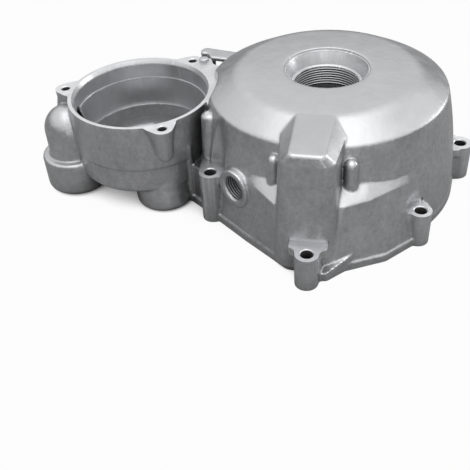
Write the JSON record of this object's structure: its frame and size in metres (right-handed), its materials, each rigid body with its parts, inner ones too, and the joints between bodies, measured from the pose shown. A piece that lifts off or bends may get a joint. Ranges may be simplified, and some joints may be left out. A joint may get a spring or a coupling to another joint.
{
  "type": "stator cover",
  "caption": "Cast aluminium engine side cover: a drum over the generator with a threaded centre hole, and an open gear pot beside it with a domed pinion housing.",
  "frame": {"origin": "the crankshaft axis where it meets the gasket face", "axes": "+Z along the crankshaft axis, from the gasket face to the outside of the cover; -X from the crankshaft axis towards the gear pot; +Y away from the front bolt"},
  "size_m": [0.2554, 0.1853, 0.0712],
  "materials": {
    "cast_aluminium": "shot-blasted die casting with milled faces and bores"
  },
  "bodies": {
    "root": {"stator_cover": "cast_aluminium"}
  },
  "joints": []
}
